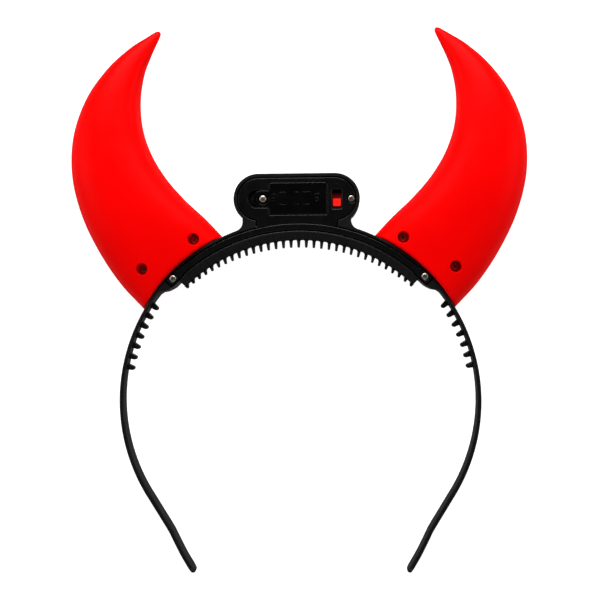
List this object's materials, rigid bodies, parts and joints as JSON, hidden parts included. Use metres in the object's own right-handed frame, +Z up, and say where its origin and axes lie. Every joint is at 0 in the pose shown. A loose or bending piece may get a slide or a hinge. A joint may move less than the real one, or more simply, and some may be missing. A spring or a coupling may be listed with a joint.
{
  "type": "devil horns headband",
  "caption": "Rigid headband with comb teeth inside its arch, curved hollow horns, and a flat battery housing with a screwed door and a slide switch.",
  "frame": {"origin": "on the surface it lies on, under the middle of the whole object's box", "axes": "+Y from the arm tips towards the horn tips, +Z up, the side with the battery door and the switch on top"},
  "size_m": [0.1894, 0.2264, 0.0235],
  "materials": {
    "black_plastic": "satin moulded",
    "red_plastic": "satin moulded",
    "horn_plastic": "satin moulded",
    "steel": "bright nickel plated"
  },
  "bodies": {
    "headband": {"headband_frame": "black_plastic", "back_cover": "black_plastic", "battery_door": "black_plastic", "horn_left_back": "horn_plastic", "horn_left_front": "horn_plastic", "horn_right_back": "horn_plastic", "horn_right_front": "horn_plastic", "door_screw": "steel", "housing_screw": "steel", "cover_screw_left": "steel", "cover_screw_right": "steel", "horn_left_screw_inner": "steel", "horn_left_screw_outer": "steel", "horn_right_screw_inner": "steel", "horn_right_screw_outer": "steel"},
    "switch": {"switch_slider": "red_plastic"}
  },
  "joints": [
    {"name": "switch_slide", "type": "slide", "parent": "headband", "child": "switch", "axis": [0, 0.9988, 0.0493], "range_m": [0, 0.0029]}
  ]
}
